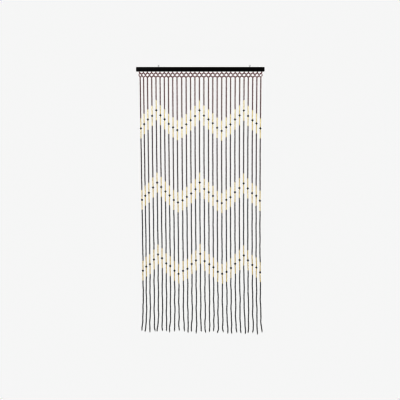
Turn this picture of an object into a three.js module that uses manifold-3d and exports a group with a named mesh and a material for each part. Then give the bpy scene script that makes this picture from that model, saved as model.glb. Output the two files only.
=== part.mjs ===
// A wooden bead curtain for a doorway: a painted bar with two screw eyes on top, a bead lattice
// under it, and a row of hanging bead strings.
// Millimetres, +Z up. The origin is the middle of the bar's top face, X runs along the bar and
// the front of the curtain faces -Y.

import * as THREE from 'three';
import { mergeVertices } from 'three/addons/utils/BufferGeometryUtils.js';
import Module from 'manifold-3d';

const wasm = await Module();
wasm.setup();

// Driving dimensions
const BAR = { length: 900, height: 28, depth: 14, easedEdge: 1.5 };
const EYE = { wire: 2, ringOuter: 11, top: 15.5, shankDepth: 12 };
const EYES = [
  { name: 'screw_eye_left', x: -294 },
  { name: 'screw_eye_right', x: 346 },
];
const STRING_WIDTH = 5.3;
const CORD_WIDTH = 2;
const CORD_HOLD = 9; // how far each cord reaches up into its hole
const SEAT_GAP = 0.3; // between a cord or a shank and the hole that holds it
const HOLE_SIDES = 6;

// Cord holes along the underside of the bar, from its left end
const FIRST_HOLE = -431;
const HOLE_ROWS = [
  { gaps: 7, pitch: 29.4 },
  { gaps: 21, pitch: 31.35 },
];

// Levels of the lattice, below the bar's top face: a bead hangs from each hole, a pair of legs
// spreads from it to the crossings that it shares with its neighbours, and comes back together
// at the head of a string
const LATTICE = { bead: 29.6, top: 38.2, crossing: 55, crossingHeight: 8.6, head: 69.8 };
const TOP_FOLLOWS_HEAD = 0.5; // how far a top leans from its hole towards its string's head

// How the strings hang: the whole row drifts sideways, its edges draw in, and every string
// sways more the lower it gets
const HANG = [
  { depth: 70, drift: 0, drawIn: 0, sway: 0 },
  { depth: 585, drift: 1, drawIn: 6, sway: 0.2 },
  { depth: 1090, drift: 4.5, drawIn: 11, sway: 0.45 },
  { depth: 1290, drift: 6, drawIn: 12.5, sway: 0.6 },
  { depth: 1675, drift: 9.5, drawIn: 12, sway: 1.3 },
  { depth: 1858, drift: 10.5, drawIn: 8.5, sway: 1.7 },
];
const STRING_END = { depth: 1857, tilt: 9, uneven: 10 };
const LONG_SWAY = { shortest: 150, spread: 110 };
const SHORT_SWAY = { shortest: 70, spread: 40, share: 0.5 };
const KICK = { height: 140, reach: 11 }; // the lowest stretch of a few strings lies over to one side
const UNEVEN = { hole: 1, head: 1, crossing: 1.2 };
const EDGE_PULL = {
  left: { reach: 8.5, fade: 0.2 },
  right: { reach: 8, fade: 0.45 },
};

// Steps of a string's solid: a few down the straight stretch, more where it sways
const STRAIGHT = { depth: 1180, steps: 7 };
const SWAYING_STEPS = 20;

// A repeatable number from -1 to 1 for a string and a purpose
const PURPOSE = {
  hole: 4385,
  head: 5721,
  end: 751,
  kick: 2999,
  level: 5,
  longX: 10,
  shortX: 20,
  longY: 30,
};
function uneven(index, purpose) {
  const scrambled = Math.sin((index + 1) * 12.9898 + purpose * 78.233) * 43758.5453;
  return 2 * (scrambled - Math.floor(scrambled)) - 1;
}

function holePlaces() {
  const places = [FIRST_HOLE];
  for (const row of HOLE_ROWS) {
    for (let gap = 0; gap < row.gaps; gap += 1) {
      places.push(places[places.length - 1] + row.pitch);
    }
  }
  return places.map((x, index) => x + UNEVEN.hole * uneven(index, PURPOSE.hole));
}

const HOLES = holePlaces();
const LAST = HOLES.length - 1;

function headX(index) {
  const left = EDGE_PULL.left.reach * EDGE_PULL.left.fade ** index;
  const right = EDGE_PULL.right.reach * EDGE_PULL.right.fade ** (LAST - index);
  return HOLES[index] + left - right + UNEVEN.head * uneven(index, PURPOSE.head);
}

function endDepth(index) {
  const across = (2 * index) / LAST - 1;
  return STRING_END.depth + STRING_END.tilt * across + STRING_END.uneven * uneven(index, PURPOSE.end);
}

// A column of HANG at any depth
function hang(column, depth) {
  const next = Math.max(1, HANG.findIndex((row) => row.depth >= depth));
  const above = HANG[next - 1];
  const below = HANG[next];
  const share = (depth - above.depth) / (below.depth - above.depth);
  return THREE.MathUtils.lerp(above[column], below[column], THREE.MathUtils.clamp(share, 0, 1));
}

// One wave of a string, with a length and a start of its own
function wave(index, purpose, size, depth) {
  const length = size.shortest + size.spread * (0.5 + 0.5 * uneven(index, purpose));
  const start = Math.PI * uneven(index, purpose + 1);
  return Math.sin((2 * Math.PI * depth) / length + start);
}

function stringPoint(index, depth) {
  const across = (2 * index) / LAST - 1;
  const sway = hang('sway', depth);
  const longX = wave(index, PURPOSE.longX, LONG_SWAY, depth);
  const shortX = SHORT_SWAY.share * wave(index, PURPOSE.shortX, SHORT_SWAY, depth);
  const longY = wave(index, PURPOSE.longY, LONG_SWAY, depth);
  const nearEnd = Math.max(0, 1 - (endDepth(index) - depth) / KICK.height);
  const kick = KICK.reach * uneven(index, PURPOSE.kick) ** 3 * nearEnd ** 2;
  const x = headX(index) + hang('drift', depth) - hang('drawIn', depth) * across;
  return new THREE.Vector3(x + sway * (longX + shortX) + kick, 0.5 * sway * longY, -depth);
}

// The line of a string from the lattice to its last bead. Its rings are placed by the curve's
// own parameter: far apart down the straight stretch and close where the string sways.
class StringLine extends THREE.Curve {
  constructor(index) {
    super();
    this.index = index;
    this.steps = STRAIGHT.steps + SWAYING_STEPS;
  }

  getUtoTmapping(u) {
    return u;
  }

  getPoint(t) {
    const step = t * this.steps;
    if (step <= STRAIGHT.steps) {
      const depth = THREE.MathUtils.lerp(LATTICE.head, STRAIGHT.depth, step / STRAIGHT.steps);
      return stringPoint(this.index, depth);
    }
    const share = (step - STRAIGHT.steps) / SWAYING_STEPS;
    return stringPoint(this.index, THREE.MathUtils.lerp(STRAIGHT.depth, endDepth(this.index), share));
  }
}

// Geometry to solid and back
function solid(geometry) {
  geometry.deleteAttribute('normal');
  geometry.deleteAttribute('uv');
  const merged = mergeVertices(geometry, 1e-4);
  const vertProperties = new Float32Array(merged.attributes.position.array);
  const triVerts = new Uint32Array(merged.index.array);
  return new wasm.Manifold(new wasm.Mesh({ numProp: 3, vertProperties, triVerts }));
}

function geometryOf(manifold) {
  const mesh = manifold.getMesh();
  const geometry = new THREE.BufferGeometry();
  geometry.setAttribute('position', new THREE.BufferAttribute(new Float32Array(mesh.vertProperties), 3));
  geometry.setIndex(new THREE.BufferAttribute(new Uint32Array(mesh.triVerts), 1));
  geometry.computeVertexNormals();
  return geometry;
}

function joined(solids) {
  return solids.reduce((whole, next) => whole.add(next));
}

// A four-sided string or cord along a curve
function cordSolid(curve, steps, width) {
  const half = width / 2;
  const section = new THREE.Shape([
    new THREE.Vector2(-half, -half),
    new THREE.Vector2(half, -half),
    new THREE.Vector2(half, half),
    new THREE.Vector2(-half, half),
  ]);
  return solid(new THREE.ExtrudeGeometry(section, { steps, bevelEnabled: false, extrudePath: curve }));
}

// A hole drilled along Z, whose flats clear what it holds by the seat gap
function holeSolid(x, heldRadius, bottom, top) {
  const radius = (heldRadius + SEAT_GAP) / Math.cos(Math.PI / HOLE_SIDES);
  const hole = new THREE.CylinderGeometry(radius, radius, top - bottom, HOLE_SIDES);
  hole.rotateX(Math.PI / 2);
  hole.translate(x, 0, (top + bottom) / 2);
  return solid(hole);
}

// The bar, drilled from below for the cords and from above for the screw eyes
function barMesh() {
  const y = BAR.depth / 2;
  const z = BAR.height / 2;
  const ease = BAR.easedEdge;
  const section = new THREE.Shape();
  section.moveTo(-y + ease, -z);
  section.lineTo(y - ease, -z);
  section.quadraticCurveTo(y, -z, y, -z + ease);
  section.lineTo(y, z - ease);
  section.quadraticCurveTo(y, z, y - ease, z);
  section.lineTo(-y + ease, z);
  section.quadraticCurveTo(-y, z, -y, z - ease);
  section.lineTo(-y, -z + ease);
  section.quadraticCurveTo(-y, -z, -y + ease, -z);
  const batten = new THREE.ExtrudeGeometry(section, {
    depth: BAR.length,
    bevelEnabled: false,
    curveSegments: 2,
  });
  batten.translate(0, 0, -BAR.length / 2);
  batten.rotateX(Math.PI / 2);
  batten.rotateZ(Math.PI / 2);

  const clear = 1;
  const cordRadius = CORD_WIDTH / Math.SQRT2;
  const cordHoles = HOLES.map((x) => holeSolid(x, cordRadius, -z - clear, -z + CORD_HOLD + clear));
  const shankRadius = EYE.wire / 2;
  const eyeHoles = EYES.map((eye) => holeSolid(eye.x, shankRadius, z - EYE.shankDepth - clear, z + clear));
  const drilled = [...cordHoles, ...eyeHoles].reduce((bar, hole) => bar.subtract(hole), solid(batten));

  const material = new THREE.MeshStandardMaterial({ color: 0x0c0b0b, roughness: 0.55, metalness: 0 });
  const mesh = new THREE.Mesh(geometryOf(drilled), material);
  mesh.name = 'bar';
  mesh.position.z = -z;
  return mesh;
}

// A wire ring that faces the front, on a shank that runs down into the bar
function screwEyeMesh(eye) {
  const wireRadius = EYE.wire / 2;
  const ringRadius = EYE.ringOuter / 2 - wireRadius;
  const ringCentre = EYE.top - EYE.ringOuter / 2;
  const ring = new THREE.TorusGeometry(ringRadius, wireRadius, 6, 16);
  ring.rotateX(Math.PI / 2);
  ring.translate(0, 0, ringCentre);
  const shankTop = ringCentre - ringRadius;
  const shankLength = shankTop + EYE.shankDepth;
  const shank = new THREE.CylinderGeometry(wireRadius, wireRadius, shankLength, 8);
  shank.rotateX(Math.PI / 2);
  shank.translate(0, 0, shankTop - shankLength / 2);

  const material = new THREE.MeshStandardMaterial({ color: 0xb9bbbe, roughness: 0.35, metalness: 1 });
  const mesh = new THREE.Mesh(geometryOf(solid(ring).add(solid(shank))), material);
  mesh.name = eye.name;
  mesh.position.x = eye.x;
  return mesh;
}

// The points of the lattice, in X and Z: a top near each hole, a short upright crossing between
// neighbours and at both ends, and the head of a string below each top
function latticePoints() {
  const heads = HOLES.map((x, index) => new THREE.Vector2(headX(index), -LATTICE.head));
  const tops = HOLES.map((x, index) => {
    return new THREE.Vector2(THREE.MathUtils.lerp(x, heads[index].x, TOP_FOLLOWS_HEAD), -LATTICE.top);
  });
  const crossings = [];
  for (let index = 0; index <= LAST + 1; index += 1) {
    const before = Math.max(index - 1, 0);
    const after = Math.min(index, LAST);
    const between = (tops[before].x + tops[after].x + heads[before].x + heads[after].x) / 4;
    const x = before === after ? HOLES[after] : between;
    const level = LATTICE.crossing + UNEVEN.crossing * uneven(index, PURPOSE.level);
    crossings.push({
      upper: new THREE.Vector2(x, LATTICE.crossingHeight / 2 - level),
      lower: new THREE.Vector2(x, -LATTICE.crossingHeight / 2 - level),
    });
  }
  return { tops, crossings, heads };
}

// The open middle of one diamond: its corners, drawn in by half the width of its legs
function diamondHole(corners) {
  const count = corners.length;
  const centre = corners.reduce((sum, corner) => sum.add(corner), new THREE.Vector2()).divideScalar(count);
  const area = Math.abs(THREE.ShapeUtils.area(corners));
  const around = corners.reduce((sum, corner, i) => sum + corner.distanceTo(corners[(i + 1) % count]), 0);
  const inward = (STRING_WIDTH / 2) / ((2 * area) / around);
  return new THREE.Path(corners.map((corner) => corner.clone().lerp(centre, inward)));
}

// The bead lattice as one flat net: a zigzag edge above, a zigzag edge below, diamonds cut through
function latticeSolid({ tops, crossings, heads }) {
  const half = STRING_WIDTH / 2;
  const pitch = (HOLES[LAST] - HOLES[0]) / LAST;
  const legFall = (LATTICE.head - LATTICE.top - LATTICE.crossingHeight) / 2;
  const rise = half / Math.sin(Math.atan2(pitch / 2, legFall));
  const upper = [];
  const lower = [];
  tops.forEach((top, index) => {
    upper.push(new THREE.Vector2(top.x, top.y + rise));
    lower.push(new THREE.Vector2(heads[index].x, heads[index].y - rise));
    if (index < LAST) {
      const crossing = crossings[index + 1];
      upper.push(new THREE.Vector2(crossing.upper.x, crossing.upper.y + rise));
      lower.push(new THREE.Vector2(crossing.lower.x, crossing.lower.y - rise));
    }
  });
  const outward = new THREE.Vector2(half, 0);
  const left = [crossings[0].upper, crossings[0].lower].map((point) => point.clone().sub(outward));
  const end = crossings[LAST + 1];
  const right = [end.lower, end.upper].map((point) => point.clone().add(outward));
  const net = new THREE.Shape([...left, ...lower, ...right, ...upper.reverse()]);
  net.holes = tops.map((top, index) => {
    const before = crossings[index];
    const after = crossings[index + 1];
    return diamondHole([top, before.upper, before.lower, heads[index], after.lower, after.upper]);
  });
  const geometry = new THREE.ExtrudeGeometry(net, { depth: STRING_WIDTH, bevelEnabled: false });
  geometry.translate(0, 0, -half);
  geometry.rotateX(Math.PI / 2);
  return solid(geometry);
}

// What hangs a top from its hole: a cord up into the bar and a bead below the bar's face
function hangerSolids(hole, top) {
  const cordTop = new THREE.Vector3(hole, 0, -BAR.height + CORD_HOLD);
  const beadTop = new THREE.Vector3(hole, 0, -LATTICE.bead);
  const cordEnd = beadTop.clone().setZ(-LATTICE.bead - CORD_WIDTH);
  const beadEnd = new THREE.Vector3(top.x, 0, top.y);
  return [
    cordSolid(new THREE.LineCurve3(cordTop, cordEnd), 1, CORD_WIDTH),
    cordSolid(new THREE.LineCurve3(beadTop, beadEnd), 1, STRING_WIDTH),
  ];
}

// The lattice, what hangs it from the bar and the strings below it are one net, and the strings
// stand apart from their heads down
function beadNetMesh() {
  const points = latticePoints();
  const hangers = HOLES.flatMap((x, index) => hangerSolids(x, points.tops[index]));
  const strings = HOLES.map((x, index) => {
    const line = new StringLine(index);
    return cordSolid(line, line.steps, STRING_WIDTH);
  });
  const whole = joined([latticeSolid(points), ...hangers, ...strings]);
  const material = new THREE.MeshStandardMaterial({ color: 0x241919, roughness: 0.6, metalness: 0 });
  const mesh = new THREE.Mesh(geometryOf(whole), material);
  mesh.name = 'bead_net';
  return mesh;
}

const curtain = new THREE.Group();
curtain.add(barMesh());
for (const eye of EYES) {
  curtain.add(screwEyeMesh(eye));
}
curtain.add(beadNetMesh());

export default curtain;
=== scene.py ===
"""A doorway curtain of wooden beads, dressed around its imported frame.

The curtain hangs in the XZ plane and its front faces -Y. Sizes are in millimetres, as in the
part's source, and turn to metres when a mesh is made. The bar and the screw eyes are finer
versions of their solids. Every string of the solid bead net is strung here with single beads on
a cord, along the same line.
"""

import math

import bmesh
import bpy
import numpy as np
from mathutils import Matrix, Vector

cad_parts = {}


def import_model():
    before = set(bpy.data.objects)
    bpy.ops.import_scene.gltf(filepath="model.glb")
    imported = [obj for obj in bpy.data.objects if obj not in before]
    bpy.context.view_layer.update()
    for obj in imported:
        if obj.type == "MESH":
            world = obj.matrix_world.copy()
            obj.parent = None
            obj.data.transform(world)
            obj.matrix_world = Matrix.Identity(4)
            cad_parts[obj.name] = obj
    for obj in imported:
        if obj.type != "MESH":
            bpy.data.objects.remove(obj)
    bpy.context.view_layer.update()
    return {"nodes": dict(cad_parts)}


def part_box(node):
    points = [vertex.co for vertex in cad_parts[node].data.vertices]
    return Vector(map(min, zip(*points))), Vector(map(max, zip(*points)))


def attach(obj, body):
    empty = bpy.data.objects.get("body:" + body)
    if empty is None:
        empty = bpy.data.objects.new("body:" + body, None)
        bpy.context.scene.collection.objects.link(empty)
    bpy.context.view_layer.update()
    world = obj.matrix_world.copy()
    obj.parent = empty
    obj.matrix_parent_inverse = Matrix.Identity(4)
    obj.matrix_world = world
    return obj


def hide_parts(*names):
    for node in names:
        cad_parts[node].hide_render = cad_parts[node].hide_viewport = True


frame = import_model()

MM = 0.001
SEED = 29
rng = np.random.default_rng(SEED)  # draws the small differences between beads

# ---------------------------------------------------------------- the curtain's sizes

# Cord holes along the underside of the bar, from its left end
CORD_HOLD = 9  # how far each cord reaches up into its hole
FIRST_HOLE = -431
HOLE_ROWS = ({"gaps": 7, "pitch": 29.4}, {"gaps": 21, "pitch": 31.35})

# Levels of the lattice, below the bar's top face: a bead hangs from each hole, a pair of legs
# spreads from it to the crossings that it shares with its neighbours, and comes back together
# at the head of a string
LATTICE = {"bead": 29.6, "top": 38.2, "crossing": 55, "crossing_height": 8.6, "head": 69.8}
TOP_FOLLOWS_HEAD = 0.5  # how far a top leans from its hole towards its string's head

# How the strings hang, by depth below the bar's top face: the whole row drifts sideways, its
# edges draw in, and every string sways more the lower it gets
HANG = {
    "depth": (70, 585, 1090, 1290, 1675, 1858),
    "drift": (0, 1, 4.5, 6, 9.5, 10.5),
    "draw_in": (0, 6, 11, 12.5, 12, 8.5),
    "sway": (0, 0.2, 0.45, 0.6, 1.3, 1.7),
}

# Where the strings end. tilt is how much lower the last string ends than the middle one.
STRING_END = {"depth": 1857, "tilt": 9, "uneven": 10}

# The waves of a string: a long one sideways with a short one on it, share times as high, and a
# long one forwards and backwards, forward times as high
LONG_SWAY = {"shortest": 150, "spread": 110, "forward": 0.5}
SHORT_SWAY = {"shortest": 70, "spread": 40, "share": 0.5}
KICK = {"height": 140, "reach": 11}  # the lowest stretch of a few strings lies over to one side
HOOK = {"height": 22, "reach": 6}  # the last beads of a string, set askew by its knot

# How far a cord hole, a string's head and a crossing can be from their even places
UNEVEN = {"hole": 1, "head": 1, "crossing": 1.2}

# How far the heads of the first and the last string are pulled inwards. The next one in gets
# fade times as much, and so on.
EDGE_PULL = {"left": {"reach": 8.5, "fade": 0.2}, "right": {"reach": 8, "fade": 0.45}}

# What a repeatable number is for. A wave also uses the purpose after its own, and the tails of a
# knot use the ones on both sides of theirs.
PURPOSE = {
    "hole": 4385,
    "head": 5721,
    "end": 751,
    "kick": 2999,
    "hook": 730,
    "level": 5,
    "long_x": 10,
    "short_x": 20,
    "long_y": 30,
    "tail_length": 60,
    "tail_spread": 62,
}
SCRAMBLE = {"index": 12.9898, "purpose": 78.233, "size": 43758.5453}  # makes it look like chance

# Beads
BEAD_RADIUS = 3.15
BEAD_GAP = 0.35  # cord that shows between two beads
ROUND_BEAD = {"radius": 6.1, "length": 11.6}
HANGER_RADIUS = 3.2
CROSSING_RADIUS = 2.9

# The beads of one leg of the lattice. node_room is kept free at each end of the leg.
LEG_BEADS = {"radius": 3.4, "length": 6.7, "gap": 0.3, "count": 2, "node_room": 2.2}

# Outlines: a barrel bead narrows to rim times its radius, and squareness and fullness shape the
# swell between its ends. A round bead is cut flat for its hole beyond reach, in degrees.
BARREL = {"rim": 0.5, "squareness": 2.6, "fullness": 0.72}
BALL = {"reach": 76, "rings": 11, "sides": 18}

# How beads differ: how far one sits beside its string's line, how many degrees it leans and how
# much thicker or thinner it is
OFF_LINE = 0.22
LEAN = 1.2
GIRTH = 0.04

# The grain is stretched along a bead, and each bead is cut from a place of its own in it
GRAIN = {"along": 0.25, "apart": 500}

# The zigzag: beads added above the first round bead, by steps away from a peak
PEAKS = (4, 14, 24)
STEP_BEADS = (0, 4, 7, 10, 13, 15)
PALE_BEADS = 7  # on each side of a round bead
BAND_SHADE = (0, 0.4, 0.8)  # how much darker the pale beads of each zigzag are painted: a painted shade, for the light that falls off lower down

# A peak string's beads above, between and below its round beads. count takes in the pale beads
# next to these, and the rest are dark: their stain gives how red-brown they would be at the bar's
# top, and fade how much less with each mm down. The cord stretches most high up, under the weight
# of what hangs from it, and loose and purpose set how the pitch differs from string to string.
SECTIONS = (
    {
        "name": "beads_upper",
        "slot": "bead_mahogany",
        "stain_and_shade": 1,
        "fade": 0.0006,
        "count": 24,
        "pitch": 9.443,
        "loose": 0.014,
        "purpose": 3525,
    },
    {
        "name": "beads_middle_upper",
        "slot": "bead_black",
        "stain_and_shade": 0.24,
        "fade": 0,
        "count": 53,
        "pitch": 9.379,
        "loose": 0.014,
        "purpose": 2657,
    },
    {
        "name": "beads_middle_lower",
        "slot": "bead_black",
        "stain_and_shade": 0,
        "fade": 0,
        "count": 53,
        "pitch": 9.252,
        "loose": 0.014,
        "purpose": 2042,
    },
    {"name": "beads_lower", "slot": "bead_black", "stain_and_shade": 0, "fade": 0, "count": 58},
)

# Cords and knots. TAIL_LINE holds the points of a tail: its share of the tail's reach sideways,
# how far forward it is, and its share of the tail's length.
CORD_RADIUS = 0.55
HANGER_CORD_RADIUS = 1.5 * CORD_RADIUS  # two cords side by side
CORD_SIDES = 5
FINE_CORD_SIDES = 6  # where more of it shows
KNOT = {"size": 0.42, "drop": 1.7, "steps": 24}
TAIL = {"length": 5, "length_uneven": 2, "reach": 0.8, "reach_uneven": 0.6}
TAIL_LINE = ((0, 0, 0), (0.4, 0.2, 0.5), (1, 0.3, 1))

# The bar and the screw eyes
BAR_EDGE = {"radius": 1.4, "segments": 4}
SHARP_ANGLE = 35  # degrees from which an edge of the bar isn't shaded smooth
DRILL = {"cord_radius": 1.7, "eye_clearance": 0.2, "overrun": 1, "sides": 20}
EYE_NODES = sorted(node for node in frame["nodes"] if node.startswith("screw_eye"))
EYE_SIDES = 12
EYE_RING = {"turn": 345, "steps": 40}  # turn in degrees, so the wire doesn't quite close
THREAD = {"top": 1.5, "pitch": 1.1, "depth": 0.28, "steps": 30}  # depth by the wire's radius


# ---------------------------------------------------------------- where the strings hang

def uneven(index, purpose):
    """A repeatable number from -1 to 1 for a string and a purpose."""
    mixed = (index + 1) * SCRAMBLE["index"] + purpose * SCRAMBLE["purpose"]
    scrambled = math.sin(mixed) * SCRAMBLE["size"]
    return 2 * (scrambled - math.floor(scrambled)) - 1


def hole_places():
    places = [FIRST_HOLE]
    for row in HOLE_ROWS:
        for _ in range(row["gaps"]):
            places.append(places[-1] + row["pitch"])
    return [x + UNEVEN["hole"] * uneven(i, PURPOSE["hole"]) for i, x in enumerate(places)]


HOLES = hole_places()
LAST = len(HOLES) - 1


def head_x(index):
    left = EDGE_PULL["left"]["reach"] * EDGE_PULL["left"]["fade"] ** index
    right = EDGE_PULL["right"]["reach"] * EDGE_PULL["right"]["fade"] ** (LAST - index)
    return HOLES[index] + left - right + UNEVEN["head"] * uneven(index, PURPOSE["head"])


def end_depth(index):
    across = 2 * index / LAST - 1
    end = STRING_END
    return end["depth"] + end["tilt"] * across + end["uneven"] * uneven(index, PURPOSE["end"])


def near_end(index, depth, height):
    """0 from that height above the string's end upwards, and 1 at the end."""
    return np.maximum(0, 1 - (end_depth(index) - depth) / height)


def hang(column, depth):
    """A column of HANG at any depth."""
    return np.interp(depth, HANG["depth"], HANG[column])


def wave(index, purpose, size, depth):
    """One wave of a string, with a length and a start of its own."""
    length = size["shortest"] + size["spread"] * (0.5 + 0.5 * uneven(index, purpose))
    start = math.pi * uneven(index, purpose + 1)
    return np.sin(2 * math.pi * depth / length + start)


def string_line(index, depth):
    """Points of a string at some depths, one row each."""
    depth = np.asarray(depth, float)
    across = 2 * index / LAST - 1
    sway = hang("sway", depth)
    long_x = wave(index, PURPOSE["long_x"], LONG_SWAY, depth)
    short_x = SHORT_SWAY["share"] * wave(index, PURPOSE["short_x"], SHORT_SWAY, depth)
    long_y = wave(index, PURPOSE["long_y"], LONG_SWAY, depth)
    kicked = near_end(index, depth, KICK["height"])
    kick = KICK["reach"] * uneven(index, PURPOSE["kick"]) ** 3 * kicked**2
    x = head_x(index) + hang("drift", depth) - hang("draw_in", depth) * across
    y = LONG_SWAY["forward"] * sway * long_y
    return np.stack([x + sway * (long_x + short_x) + kick, y, -depth], 1)


def lattice_points():
    """Tops, crossings and heads of the lattice."""
    heads = [np.array([head_x(i), 0, -LATTICE["head"]]) for i in range(LAST + 1)]
    tops = []
    for i, x in enumerate(HOLES):
        lean = TOP_FOLLOWS_HEAD * (heads[i][0] - x)
        tops.append(np.array([x + lean, 0, -LATTICE["top"]]))
    crossings = []
    for i in range(LAST + 2):
        before = max(i - 1, 0)
        after = min(i, LAST)
        between = (tops[before][0] + tops[after][0] + heads[before][0] + heads[after][0]) / 4
        x = HOLES[after] if before == after else between
        level = LATTICE["crossing"] + UNEVEN["crossing"] * uneven(i, PURPOSE["level"])
        crossings.append(np.array([x, 0, -level]))
    return tops, crossings, heads


# ---------------------------------------------------------------- mesh helpers

def node_box(node):
    """The low and the high corner of a solid, in millimetres."""
    return [np.array(corner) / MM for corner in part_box(node)]


def add_to_scene(name, data):
    """A new object that holds a mesh, a camera or a light."""
    made = bpy.data.objects.new(name, data)
    bpy.context.scene.collection.objects.link(made)
    return made


def make_object(name, points, faces):
    """A smooth mesh object from points in millimetres."""
    mesh = bpy.data.meshes.new(name)
    mesh.from_pydata((np.asarray(points) * MM).tolist(), [], faces)
    mesh.polygons.foreach_set("use_smooth", [True] * len(mesh.polygons))
    mesh.update()
    return add_to_scene(name, mesh)


def add_attribute(piece, name, values):
    """A number or a vector for every point of a piece."""
    values = np.asarray(values, np.float32)
    kind, field = ("FLOAT", "value") if values.ndim == 1 else ("FLOAT_VECTOR", "vector")
    layer = piece.data.attributes.new(name, kind, "POINT")
    layer.data.foreach_set(field, values.ravel())


def unit(vectors):
    """Vectors, one a row, brought to length 1."""
    return vectors / np.linalg.norm(vectors, axis=1, keepdims=True)


def crosswise(along):
    """Two directions at right angles to each row of along. No row may point along Y."""
    side = unit(np.cross(along, (0.0, 1.0, 0.0)))
    return side, np.cross(along, side)


def wall_faces(rings, sides, closed=False):
    """The faces between rings of points. In a closed shape the last ring joins the first."""
    faces = []
    for ring in range(rings if closed else rings - 1):
        this = ring * sides
        following = (ring + 1) % rings * sides
        for turn in range(sides):
            after = (turn + 1) % sides
            faces.append((this + turn, this + after, following + after, following + turn))
    return faces


def cap_faces(rings, sides):
    """The flat faces that close the first and the last ring."""
    top = (rings - 1) * sides
    return [tuple(range(sides))[::-1], tuple(range(top, top + sides))]


def lathe(profile, sides):
    """A closed shape around Z from (radius, height) pairs: its points, its side faces, its caps."""
    turns = 2 * math.pi * np.arange(sides) / sides
    circle = np.stack([np.cos(turns), np.sin(turns), np.ones(sides)], 1)
    points = np.concatenate([circle * (radius, radius, height) for radius, height in profile])
    return points, wall_faces(len(profile), sides), cap_faces(len(profile), sides)


def tube(points, radius, sides, closed=False):
    """A round tube through points: its points and faces. A closed one comes back to its start."""
    points = np.asarray(points, float)
    if closed:
        along = unit(np.roll(points, -1, axis=0) - np.roll(points, 1, axis=0))
    else:
        along = unit(np.gradient(points, axis=0))
    side, other = crosswise(along)
    rings = np.empty((len(points), sides, 3))
    for turn in range(sides):
        angle = 2 * math.pi * turn / sides
        rings[:, turn] = points + radius * (math.cos(angle) * side + math.sin(angle) * other)
    faces = wall_faces(len(points), sides, closed)
    if not closed:
        faces += cap_faces(len(points), sides)
    return rings.reshape(-1, 3), faces


def joined(parts):
    """One list of points and one of faces from several (points, faces) pairs."""
    points = []
    faces = []
    count = 0
    for part_points, part_faces in parts:
        points.append(part_points)
        faces += [tuple(corner + count for corner in face) for face in part_faces]
        count += len(part_points)
    return np.concatenate(points), faces


# ---------------------------------------------------------------- beads

def barrel(sides, rings):
    """A turned bead: an oval that is cut off square where it has narrowed to its rim."""
    heights = np.sin(np.linspace(-math.pi / 2, math.pi / 2, rings))
    swell = (1 - np.abs(heights) ** BARREL["squareness"]) ** BARREL["fullness"]
    radii = BARREL["rim"] + (1 - BARREL["rim"]) * swell
    return lathe(list(zip(radii, heights)), sides)


def ball():
    angles = np.radians(np.linspace(-BALL["reach"], BALL["reach"], BALL["rings"]))
    return lathe(list(zip(np.cos(angles), np.sin(angles))), BALL["sides"])


class BeadRow:
    """Beads of one shape and finish, gathered one by one and made into a single mesh."""

    def __init__(self, shape, radius):
        self.shape = shape
        self.radius = radius
        self.starts = []
        self.ends = []
        self.stains_and_shades = []
        self.radii = []

    def add(self, start, end, stain_and_shade, radius=None):
        """A bead whose axis runs from start to end, and how deep its colour is, up to 1: a real
        stain on dark beads, a painted shade on pale ones.
        """
        self.starts.append(start)
        self.ends.append(end)
        self.stains_and_shades.append(stain_and_shade)
        self.radii.append(radius or self.radius)

    def build(self, name):
        """One piece of all the beads, each a little askew and a little thicker or thinner."""
        points, sides, caps = self.shape
        count = len(self.starts)
        start = np.array(self.starts)
        end = np.array(self.ends)
        half = np.linalg.norm(end - start, axis=1) / 2
        axis = unit(unit(end - start) + np.radians(LEAN) * rng.normal(size=(count, 3)))
        turn = rng.uniform(0, 2 * math.pi, (count, 1))
        radius = np.array(self.radii) * (1 + GIRTH * rng.uniform(-1, 1, count))
        side, other = crosswise(axis)
        across = np.cos(turn) * side + np.sin(turn) * other
        beside = np.cos(turn) * other - np.sin(turn) * side
        sizes = np.stack([radius, radius, half], 1)
        directions = np.stack([across, beside, axis], 1)
        # The shape's points once for each bead, at its size, in its directions and at its place
        placed = (start + end)[:, None] / 2 + (sizes[:, None] * points) @ directions
        piece = make_object(name, *joined([(bead, sides + caps) for bead in placed]))
        smooth = [True] * len(sides) + [False] * len(caps)
        piece.data.polygons.foreach_set("use_smooth", smooth * count)
        add_attribute(piece, "tone", np.repeat(rng.uniform(0, 1, count), len(points)))
        # How deep each bead's colour is: a real stain on the dark beads, a painted shade on the
        # pale ones
        add_attribute(piece, "stain_and_shade", np.repeat(self.stains_and_shades, len(points)))
        own_place = rng.uniform(-GRAIN["apart"], GRAIN["apart"], (count, 1, 3))
        grain = self.radius * points * (1, 1, GRAIN["along"]) + own_place
        add_attribute(piece, "grain", grain.reshape(-1, 3))
        add_attribute(piece, "rim", np.tile(points[:, 2] ** 2, count))
        return piece


STRING_BEAD = barrel(sides=12, rings=6)
HEADING_BEAD = barrel(sides=16, rings=9)

rows = {section["name"]: BeadRow(STRING_BEAD, BEAD_RADIUS) for section in SECTIONS}
rows["beads_heading"] = BeadRow(HEADING_BEAD, LEG_BEADS["radius"])
rows["beads_pale"] = BeadRow(STRING_BEAD, BEAD_RADIUS)
rows["beads_round"] = BeadRow(ball(), ROUND_BEAD["radius"])
cords = []


# ---------------------------------------------------------------- the heading

def leg_beads(start, end):
    """The beads in the middle of a leg of the lattice, and the cord through them.

    The short legs at the curtain's edges hold smaller beads.
    """
    count = LEG_BEADS["count"]
    step = LEG_BEADS["length"] + LEG_BEADS["gap"]
    leg = np.linalg.norm(end - start)
    scale = min(1, (leg - 2 * LEG_BEADS["node_room"]) / (count * step))
    along = scale * (end - start) / leg
    for bead in range(count):
        first = (start + end) / 2 + along * ((bead - count / 2) * step + LEG_BEADS["gap"] / 2)
        last = first + along * LEG_BEADS["length"]
        rows["beads_heading"].add(first, last, 1, scale * LEG_BEADS["radius"])
    cords.append(tube([start, end], CORD_RADIUS, CORD_SIDES))


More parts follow.
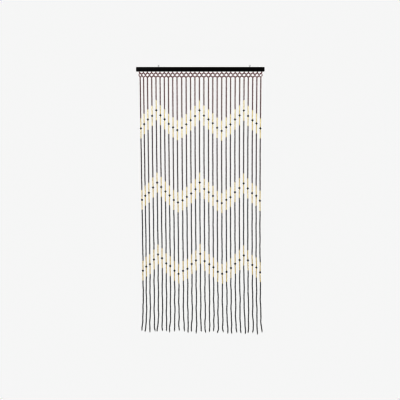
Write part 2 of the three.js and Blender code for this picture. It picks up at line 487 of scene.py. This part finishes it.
def heading():
    """The hanger beads under the bar and the lattice of legs and crossing beads."""
    tops, crossings, heads = lattice_points()
    half_crossing = np.array([0, 0, LATTICE["crossing_height"] / 2])
    bar_bottom = node_box("bar")[0][2]
    for i, x in enumerate(HOLES):
        in_bar = np.array([x, 0, bar_bottom + CORD_HOLD])
        bead_top = np.array([x, 0, -LATTICE["bead"]])
        rows["beads_heading"].add(bead_top, tops[i], 1, HANGER_RADIUS)
        cords.append(tube([in_bar, bead_top, tops[i]], HANGER_CORD_RADIUS, FINE_CORD_SIDES))
        for crossing in (crossings[i], crossings[i + 1]):
            leg_beads(tops[i], crossing + half_crossing)
            leg_beads(crossing - half_crossing, heads[i])
    for crossing in crossings:
        top = crossing + half_crossing
        bottom = crossing - half_crossing
        rows["beads_heading"].add(top, bottom, 1, CROSSING_RADIUS)


# ---------------------------------------------------------------- the strings

def steps_from_peak(index):
    return min(abs(index - peak) for peak in PEAKS)


def string_places(index):
    """The beads of a string, top to bottom: the row each is in, how deep its colour is (a real
    stain on dark beads, a painted shade on pale ones) and its two depths.
    """
    extra = STEP_BEADS[steps_from_peak(index)]
    lowest = len(SECTIONS) - 1
    places = []
    depth = LATTICE["head"]
    for level, section in enumerate(SECTIONS):
        if level < lowest:
            count = section["count"] + (extra if level == 0 else 0)
            pitch = section["pitch"] * (1 + section["loose"] * uneven(index, section["purpose"]))
        else:
            count = section["count"] - extra
            pitch = (end_depth(index) - depth) / count
        for bead in range(count):
            bottom = depth + pitch
            row = "beads_pale"
            # The pale beads of the lower zigzags are painted darker: a painted shade, for the light
            # that falls off lower down
            if level > 0 and bead < PALE_BEADS:
                stain_and_shade = BAND_SHADE[level - 1]
            elif level < lowest and bead >= count - PALE_BEADS:
                stain_and_shade = BAND_SHADE[level]
            else:
                row = section["name"]
                stain_and_shade = section["stain_and_shade"] - section["fade"] * (depth + bottom) / 2
            places.append({"row": row, "stain_and_shade": stain_and_shade, "top": depth, "bottom": bottom})
            depth = bottom
        if level < lowest:
            bottom = depth + ROUND_BEAD["length"]
            places.append({"row": "beads_round", "stain_and_shade": 0, "top": depth, "bottom": bottom})
            depth = bottom
    return places


def seated_line(index, depths):
    """The string's line with each bead a little beside it and the last ones askew."""
    line = string_line(index, depths)
    line[1:, :2] += OFF_LINE * rng.uniform(-1, 1, (len(depths) - 1, 2))
    hooked = near_end(index, depths, HOOK["height"])
    line[:, 0] += HOOK["reach"] * uneven(index, PURPOSE["hook"]) * hooked
    return line


def string_beads(index):
    """Threads the beads of one string, and the cord through them. Returns the string's end."""
    places = string_places(index)
    depths = np.array([place["top"] for place in places] + [places[-1]["bottom"]])
    line = seated_line(index, depths)
    for place, start, end in zip(places, line[:-1], line[1:]):
        trim = (BEAD_GAP / 2) * (end - start) / np.linalg.norm(end - start)
        rows[place["row"]].add(start + trim, end - trim, place["stain_and_shade"])
    cords.append(tube(line, CORD_RADIUS, CORD_SIDES))
    return line[-1]


def end_knots(ends):
    """A small overhand knot below the last bead of each string, with two cut tails."""
    turns = 2 * math.pi * np.arange(KNOT["steps"]) / KNOT["steps"]
    x = np.sin(turns) + 2 * np.sin(2 * turns)
    y = np.sin(3 * turns)
    z = np.cos(turns) - 2 * np.cos(2 * turns)
    knot = KNOT["size"] * np.stack([x, y, z], 1)
    parts = []
    for index, end in enumerate(ends):
        centre = end - (0, 0, KNOT["drop"])
        parts.append(tube(centre + knot, CORD_RADIUS, FINE_CORD_SIDES, closed=True))
        for side in (-1, 1):
            longer = uneven(index, PURPOSE["tail_length"] + side)
            wider = uneven(index, PURPOSE["tail_spread"] + side)
            length = TAIL["length"] + TAIL["length_uneven"] * longer
            reach = TAIL["reach"] + TAIL["reach_uneven"] * wider
            line = [
                centre + (side * reach * sideways, side * forward, -length * down)
                for sideways, forward, down in TAIL_LINE
            ]
            parts.append(tube(line, CORD_RADIUS, FINE_CORD_SIDES))
    return make_object("end_knots", *joined(parts))


# ---------------------------------------------------------------- the bar and its screw eyes

def cutter(x, radius, bottom, top):
    """An upright round cutter in the bar's middle plane, at x along it."""
    points, sides, caps = lathe([(radius, bottom), (radius, top)], DRILL["sides"])
    return points + (x, 0, 0), sides + caps


def drills():
    """Round cutters for the cord holes below and the two screw eyes above, as one mesh."""
    low, high = node_box("bar")
    bottom = low[2] - DRILL["overrun"]
    hole_top = low[2] + CORD_HOLD + DRILL["overrun"]
    parts = [cutter(x, DRILL["cord_radius"], bottom, hole_top) for x in HOLES]
    for node in EYE_NODES:
        eye_low, eye_high = node_box(node)
        x = (eye_low[0] + eye_high[0]) / 2
        radius = (eye_high[1] - eye_low[1]) / 2 + DRILL["eye_clearance"]
        top = high[2] + DRILL["overrun"]
        parts.append(cutter(x, radius, eye_low[2] - DRILL["overrun"], top))
    return make_object("drills", *joined(parts))


def painted_batten():
    """The bar with softly rounded edges, drilled below for the cords and above for the eyes."""
    low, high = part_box("bar")
    edge = BAR_EDGE["radius"] * MM
    bm = bmesh.new()
    bmesh.ops.create_cube(bm, size=1)
    for vert in bm.verts:
        for axis in range(3):
            vert.co[axis] = low[axis] if vert.co[axis] < 0 else high[axis]
    bmesh.ops.bevel(
        bm,
        geom=list(bm.edges),
        offset=edge,
        segments=BAR_EDGE["segments"],
        profile=0.5,
        affect="EDGES",
    )
    solid = bpy.data.meshes.new("bar_solid")
    bm.to_mesh(solid)
    bm.free()
    piece = add_to_scene("bar_painted", solid)
    cut = piece.modifiers.new("holes", "BOOLEAN")
    cut.operation = "DIFFERENCE"
    cut.object = drills()
    drilled = piece.evaluated_get(bpy.context.evaluated_depsgraph_get())
    mesh = bpy.data.meshes.new_from_object(drilled)
    bpy.data.objects.remove(cut.object)
    piece.modifiers.clear()
    piece.data = mesh
    mesh.polygons.foreach_set("use_smooth", [True] * len(mesh.polygons))
    mesh.set_sharp_from_angle(angle=math.radians(SHARP_ANGLE))
    places = np.array([vert.co for vert in mesh.vertices])
    inside = np.sort(np.minimum(places - np.array(low), np.array(high) - places), axis=1)
    add_attribute(piece, "wear", np.clip(1 - inside[:, 1] / edge, 0, 1))
    return piece


def screw_eye(name, node):
    """A bent wire ring, almost closed, on a threaded shank."""
    low, high = node_box(node)
    wire = (high[1] - low[1]) / 2
    outer = (high[0] - low[0]) / 2
    ring = outer - wire
    centre = np.array([(low[0] + high[0]) / 2, 0, high[2] - outer])
    turns = np.linspace(0, math.radians(EYE_RING["turn"]), EYE_RING["steps"]) - math.pi / 2
    bend = centre + ring * np.stack([np.cos(turns), 0 * turns, np.sin(turns)], 1)
    heights = np.linspace(low[2], centre[2] - ring, THREAD["steps"])
    groove = THREAD["depth"] * (1 - np.cos(2 * math.pi * heights / THREAD["pitch"])) / 2
    radii = wire * np.where(heights > THREAD["top"], 1, 1 - groove)
    points, sides, caps = lathe(list(zip(radii, heights)), EYE_SIDES)
    shank = (points + (centre[0], 0, 0), sides + caps)
    return make_object(name, *joined([tube(bend, wire, EYE_SIDES), shank]))


# ---------------------------------------------------------------- materials

# Colours, in linear light. LIGHT ones are the lighter tone of the same finish.
BLACK = (0.0042, 0.0038, 0.0038)
BLACK_LIGHT = (0.009, 0.008, 0.008)
MAHOGANY = (0.2, 0.052, 0.044)
BURGUNDY = (0.25, 0.048, 0.056)
RUBBED = (0.11, 0.06, 0.04)  # where the stain has worn off a rim
BALL_BLACK = (0.002, 0.002, 0.002)
BALL_BLACK_LIGHT = (0.004, 0.0035, 0.0035)
PALE = (0.65, 0.557, 0.302)
PALE_LIGHT = (0.764, 0.69, 0.437)
# Painted shade: the darker colour the pale beads are given lower down, where less light falls
SHADED_PALE = (0.6, 0.475, 0.225)
PALE_GRAIN = (0.53, 0.42, 0.19)
PAINT = (0.009, 0.0085, 0.0085)
PAINT_LIGHT = (0.018, 0.017, 0.017)
BARE_EDGE = (0.14, 0.09, 0.06)  # where the paint has worn off the bar
ZINC = (0.3, 0.3, 0.31)
ZINC_LIGHT = (0.44, 0.44, 0.45)
CORD_DARK = (0.012, 0.006, 0.006)
CORD_LIGHT = (0.045, 0.015, 0.016)


class Finish:
    """A material with one shader, and short calls for the nodes that feed it."""

    def __init__(self, name):
        self.material = bpy.data.materials.new(name)
        self.material.use_nodes = True
        self.nodes = self.material.node_tree.nodes
        self.links = self.material.node_tree.links
        self.shader = self.nodes["Principled BSDF"]

    def set(self, socket, value):
        """Gives the shader one value all over."""
        self.shader.inputs[socket].default_value = value

    def feed(self, socket, output):
        """Gives the shader what a node works out."""
        self.links.new(output, self.shader.inputs[socket])

    def place(self):
        return self.nodes.new("ShaderNodeTexCoord").outputs["Object"]

    def scaled(self, place, scale):
        node = self.nodes.new("ShaderNodeMapping")
        node.inputs["Scale"].default_value = scale
        self.links.new(place, node.inputs["Vector"])
        return node.outputs["Vector"]

    def attribute(self, name, output="Fac"):
        node = self.nodes.new("ShaderNodeAttribute")
        node.attribute_name = name
        return node.outputs[output]

    def noise(self, place, scale, detail=3):
        node = self.nodes.new("ShaderNodeTexNoise")
        node.inputs["Scale"].default_value = scale
        node.inputs["Detail"].default_value = detail
        self.links.new(place, node.inputs["Vector"])
        return node.outputs["Fac"]

    def ranged(self, value, low, high):
        """value, from 0 to 1, brought to between low and high."""
        node = self.nodes.new("ShaderNodeMapRange")
        node.inputs["To Min"].default_value = low
        node.inputs["To Max"].default_value = high
        self.links.new(value, node.inputs["Value"])
        return node.outputs["Result"]

    def product(self, first, second):
        node = self.nodes.new("ShaderNodeMath")
        node.operation = "MULTIPLY"
        self.links.new(first, node.inputs[0])
        self.links.new(second, node.inputs[1])
        return node.outputs["Value"]

    def mix(self, factor, first, second):
        """A colour between two others. Each is three numbers or what a node works out."""
        node = self.nodes.new("ShaderNodeMix")
        node.data_type = "RGBA"
        self.links.new(factor, node.inputs["Factor"])
        for name, colour in (("A", first), ("B", second)):
            socket = next(s for s in node.inputs if s.name == name and s.type == "RGBA")
            if isinstance(colour, tuple):
                socket.default_value = (*colour, 1)
            else:
                self.links.new(colour, socket)
        return next(s for s in node.outputs if s.type == "RGBA")

    def worn(self, colour, bare, patches, where):
        """colour, with bare in those patches, most where that attribute is near 1."""
        wear = self.product(patches, self.attribute(where))
        return self.mix(self.product(wear, wear), colour, bare)

    def bump(self, height, strength, depth):
        """Shades the surface as if height were cut into it, depth millimetres deep."""
        node = self.nodes.new("ShaderNodeBump")
        node.inputs["Strength"].default_value = strength
        node.inputs["Distance"].default_value = depth * MM
        self.links.new(height, node.inputs["Height"])
        self.feed("Normal", node.outputs["Normal"])


def stained_wood(name, dark, light, stained, specular, roughness):
    """Turned wood in a dark stain: beads differ in tone, grain shows through, rims are worn."""
    finish = Finish(name)
    place = finish.attribute("grain", "Vector")
    grain = finish.noise(place, scale=1.4)
    plain = finish.mix(finish.attribute("tone"), dark, light)
    coloured = finish.mix(finish.attribute("stain_and_shade"), plain, stained)
    grained = finish.mix(finish.ranged(grain, low=-0.4, high=1.1), coloured, dark)
    patches = finish.ranged(finish.noise(place, scale=3), low=-0.9, high=1.6)
    finish.feed("Base Color", finish.worn(grained, RUBBED, patches, "rim"))
    finish.feed("Roughness", finish.ranged(grain, *roughness))
    finish.bump(grain, strength=0.25, depth=0.15)
    finish.set("Specular IOR Level", specular)
    return finish.material


def pale_wood():
    """Natural turned wood under clear lacquer, painted darker in the lower zigzags as a painted
    shade.
    """
    finish = Finish("pale_wood")
    grain = finish.noise(finish.attribute("grain", "Vector"), scale=1.1, detail=4)
    plain = finish.mix(finish.attribute("tone"), PALE, PALE_LIGHT)
    # Mixes in the darker colour of the lower zigzags: a painted shade for the light falling off
    # lower down
    pale_with_shade = finish.mix(finish.attribute("stain_and_shade"), plain, SHADED_PALE)
    streaked = finish.mix(finish.ranged(grain, low=-0.8, high=1.2), pale_with_shade, PALE_GRAIN)
    finish.feed("Base Color", streaked)
    finish.feed("Roughness", finish.ranged(grain, low=0.32, high=0.5))
    finish.bump(grain, strength=0.2, depth=0.15)
    finish.set("Specular IOR Level", 0.35)
    return finish.material


def bar_paint():
    """Black satin paint over wood: the grain just shows in it, and the edges are rubbed."""
    finish = Finish("bar_paint")
    place = finish.place()
    grain = finish.noise(finish.scaled(place, scale=(12, 260, 260)), scale=1, detail=4)
    paint = finish.mix(grain, PAINT, PAINT_LIGHT)
    patches = finish.ranged(finish.noise(place, scale=90), low=-0.6, high=1.5)
    finish.feed("Base Color", finish.worn(paint, BARE_EDGE, patches, "wear"))
    finish.feed("Roughness", finish.ranged(grain, low=0.34, high=0.54))
    finish.bump(grain, strength=0.3, depth=0.3)
    finish.set("Specular IOR Level", 0.18)
    return finish.material


def zinc_wire():
    """Zinc-plated wire, a little spotted."""
    finish = Finish("zinc")
    spots = finish.noise(finish.place(), scale=900)
    finish.feed("Base Color", finish.mix(spots, ZINC, ZINC_LIGHT))
    finish.feed("Roughness", finish.ranged(spots, low=0.42, high=0.58))
    finish.set("Metallic", 1)
    return finish.material


def cord_thread():
    """Thin waxed cord, with its twist."""
    finish = Finish("thread")
    wave_node = finish.nodes.new("ShaderNodeTexWave")
    wave_node.bands_direction = "DIAGONAL"
    wave_node.inputs["Scale"].default_value = 700
    wave_node.inputs["Distortion"].default_value = 1.5
    finish.links.new(finish.place(), wave_node.inputs["Vector"])
    twist = wave_node.outputs["Fac"]
    finish.feed("Base Color", finish.mix(twist, CORD_DARK, CORD_LIGHT))
    finish.bump(twist, strength=0.5, depth=0.2)
    finish.set("Roughness", 0.85)
    finish.set("Specular IOR Level", 0.15)
    return finish.material


# ---------------------------------------------------------------- putting it together

def dress(piece, material, slot, *nodes):
    """Puts a piece on the root with its material, in place of those nodes. slot is not used."""
    piece.data.materials.append(material)
    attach(piece, "root")
    if nodes:
        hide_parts(*nodes)


heading()
string_ends = [string_beads(index) for index in range(LAST + 1)]

bead_sheen = {"specular": 0.2, "roughness": (0.35, 0.6)}
ball_sheen = {"specular": 0.12, "roughness": (0.28, 0.45)}
dark_wood = stained_wood("dark_wood", BLACK, BLACK_LIGHT, MAHOGANY, **bead_sheen)
red_wood = stained_wood("red_wood", BLACK, BLACK_LIGHT, BURGUNDY, **bead_sheen)
round_wood = stained_wood("round_wood", BALL_BLACK, BALL_BLACK_LIGHT, MAHOGANY, **ball_sheen)
for section in SECTIONS:
    beads = rows[section["name"]].build(section["name"])
    dress(beads, dark_wood, section["slot"], "bead_net")
dress(rows["beads_heading"].build("beads_heading"), red_wood, "bead_burgundy", "bead_net")
dress(rows["beads_pale"].build("beads_pale"), pale_wood(), "bead_natural", "bead_net")
dress(rows["beads_round"].build("beads_round"), round_wood, "bead_round", "bead_net")

thread = cord_thread()
dress(make_object("cords", *joined(cords)), thread, "cord", "bead_net")
dress(end_knots(string_ends), thread, "cord")

dress(painted_batten(), bar_paint(), "bar_black", "bar")
zinc = zinc_wire()
for node in EYE_NODES:
    dress(screw_eye(node.removeprefix("screw_"), node), zinc, "eye_steel", node)


# ---------------------------------------------------------------- camera, floor and light

PAPER = 0.9647  # the pale ground, in linear light
AMBIENT = 0.45  # the light from all round
CONTRAST = 0.44  # view gamma: thin dark strings keep their full weight against the pale ground
VIEW = {"x": -2.3, "z": -932.5, "width": 2811}  # what the camera faces, and how much it takes in
LENS = 85
SENSOR = 36

# In metres and watts
FLOOR = {"reach": 60, "level": -2}
LIT = (0, 0, -0.9)  # the middle of the curtain, where the lights point
LIGHTS = (
    {"name": "key", "place": (-2.6, -4.2, 1.2), "size": 2.2, "power": 225},
    {"name": "fill", "place": (3.2, -3.6, -0.2), "size": 2.4, "power": 105},
    {"name": "back", "place": (1.5, 4, 1), "size": 2.4, "power": 150},
)


def camera():
    """A long lens, straight in front of the curtain."""
    data = bpy.data.cameras.new("camera")
    data.lens = LENS
    data.sensor_width = SENSOR
    away = VIEW["width"] * LENS / SENSOR
    eye = add_to_scene("camera", data)
    eye.location = (VIEW["x"] * MM, -away * MM, VIEW["z"] * MM)
    eye.rotation_euler = (math.pi / 2, 0, 0)
    bpy.context.scene.camera = eye


def area_light(name, place, size, power):
    """A soft round light that points at the curtain."""
    data = bpy.data.lights.new(name, "AREA")
    data.shape = "DISK"
    data.size = size
    data.energy = power
    light = add_to_scene(name, data)
    light.location = place
    light.rotation_euler = (Vector(LIT) - Vector(place)).to_track_quat("-Z", "Y").to_euler()


def floor():
    """A wide pale sheet that glows evenly, so that neither a shadow nor a horizon shows."""
    reach = FLOOR["reach"]
    level = FLOOR["level"]
    corners = [
        (-reach, -reach, level),
        (reach, -reach, level),
        (reach, reach, level),
        (-reach, reach, level),
    ]
    mesh = bpy.data.meshes.new("floor")
    mesh.from_pydata(corners, [], [(0, 1, 2, 3)])
    piece = add_to_scene("floor", mesh)
    material = bpy.data.materials.new("floor_paper")
    material.use_nodes = True
    nodes = material.node_tree.nodes
    nodes.clear()
    glow = nodes.new("ShaderNodeEmission")
    glow.inputs["Color"].default_value = (PAPER, PAPER, PAPER, 1)
    output = nodes.new("ShaderNodeOutputMaterial")
    material.node_tree.links.new(glow.outputs["Emission"], output.inputs["Surface"])
    mesh.materials.append(material)
    piece.visible_diffuse = False
    piece.visible_glossy = False


def world():
    """The pale ground as the camera sees it, and a dimmer light from all round for the rest."""
    made = bpy.data.worlds.new("studio")
    bpy.context.scene.world = made
    made.use_nodes = True
    nodes = made.node_tree.nodes
    links = made.node_tree.links
    seen = nodes["Background"]
    seen.inputs["Color"].default_value = (PAPER, PAPER, PAPER, 1)
    ambient = nodes.new("ShaderNodeBackground")
    ambient.inputs["Color"].default_value = (AMBIENT, AMBIENT, AMBIENT, 1)
    path = nodes.new("ShaderNodeLightPath")
    choice = nodes.new("ShaderNodeMixShader")
    links.new(path.outputs["Is Camera Ray"], choice.inputs["Fac"])
    links.new(ambient.outputs["Background"], choice.inputs[1])
    links.new(seen.outputs["Background"], choice.inputs[2])
    links.new(choice.outputs["Shader"], nodes["World Output"].inputs["Surface"])


camera()
floor()
world()
for light in LIGHTS:
    area_light(**light)
bpy.context.scene.view_settings.view_transform = "Standard"
bpy.context.scene.view_settings.gamma = CONTRAST
